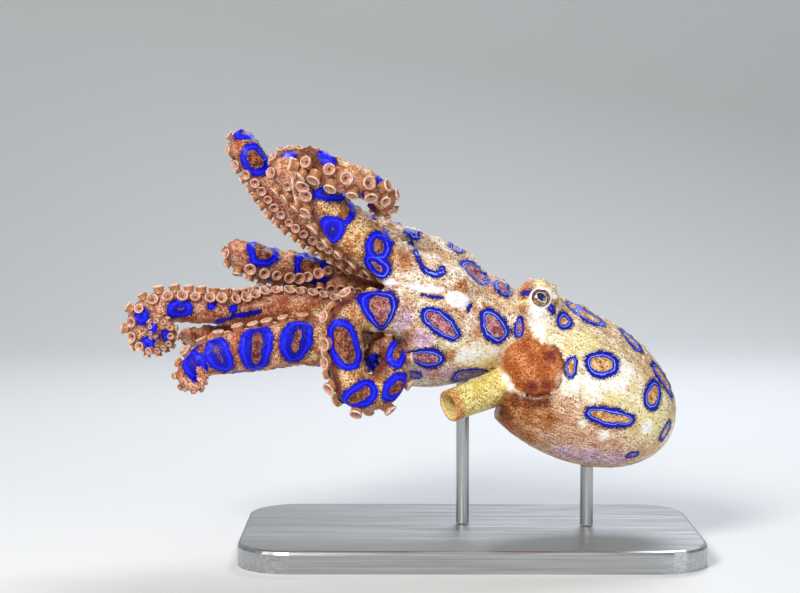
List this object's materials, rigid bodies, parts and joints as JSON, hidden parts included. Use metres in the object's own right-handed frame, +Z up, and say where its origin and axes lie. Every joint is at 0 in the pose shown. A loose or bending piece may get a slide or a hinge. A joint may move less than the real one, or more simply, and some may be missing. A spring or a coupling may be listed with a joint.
{
  "type": "octopus model",
  "caption": "Life-size still model of a greater blue-ringed octopus swimming tail first, arms trailing and curled, held on two short rods over a flat base.",
  "frame": {"origin": "centre of the underside of the stand's base", "axes": "+Z up, +X the way the mantle points, along the base's length; the animal's left side faces -Y"},
  "size_m": [0.1314, 0.06, 0.0959],
  "materials": {
    "skin": "moist cream and orange-brown skin, finely speckled, with blue rings edged in dark brown",
    "eye": "wet gold eye with a dark slit pupil",
    "mouth": "pale fleshy lips round a dark brown beak",
    "stand": "fine brushed steel"
  },
  "bodies": {
    "root": {"stand_base": "stand", "stand_rod_mantle": "stand", "stand_rod_crown": "stand", "mantle": "skin", "head": "skin", "web": "skin", "collar": "skin", "funnel": "skin", "mouth": "mouth", "eye_left": "eye", "eye_right": "eye", "arm_left_1_base": "skin", "arm_left_1_mid": "skin", "arm_left_1_outer": "skin", "arm_left_1_tip": "skin", "arm_left_2_base": "skin", "arm_left_2_mid": "skin", "arm_left_2_outer": "skin", "arm_left_2_tip": "skin", "arm_left_3_base": "skin", "arm_left_3_mid": "skin", "arm_left_3_outer": "skin", "arm_left_3_tip": "skin", "arm_left_4_base": "skin", "arm_left_4_mid": "skin", "arm_left_4_outer": "skin", "arm_left_4_tip": "skin", "arm_right_4_base": "skin", "arm_right_4_mid": "skin", "arm_right_4_outer": "skin", "arm_right_4_tip": "skin", "arm_right_3_base": "skin", "arm_right_3_mid": "skin", "arm_right_3_outer": "skin", "arm_right_3_tip": "skin", "arm_right_2_base": "skin", "arm_right_2_mid": "skin", "arm_right_2_outer": "skin", "arm_right_2_tip": "skin", "arm_right_1_base": "skin", "arm_right_1_mid": "skin", "arm_right_1_outer": "skin", "arm_right_1_tip": "skin"}
  },
  "joints": []
}
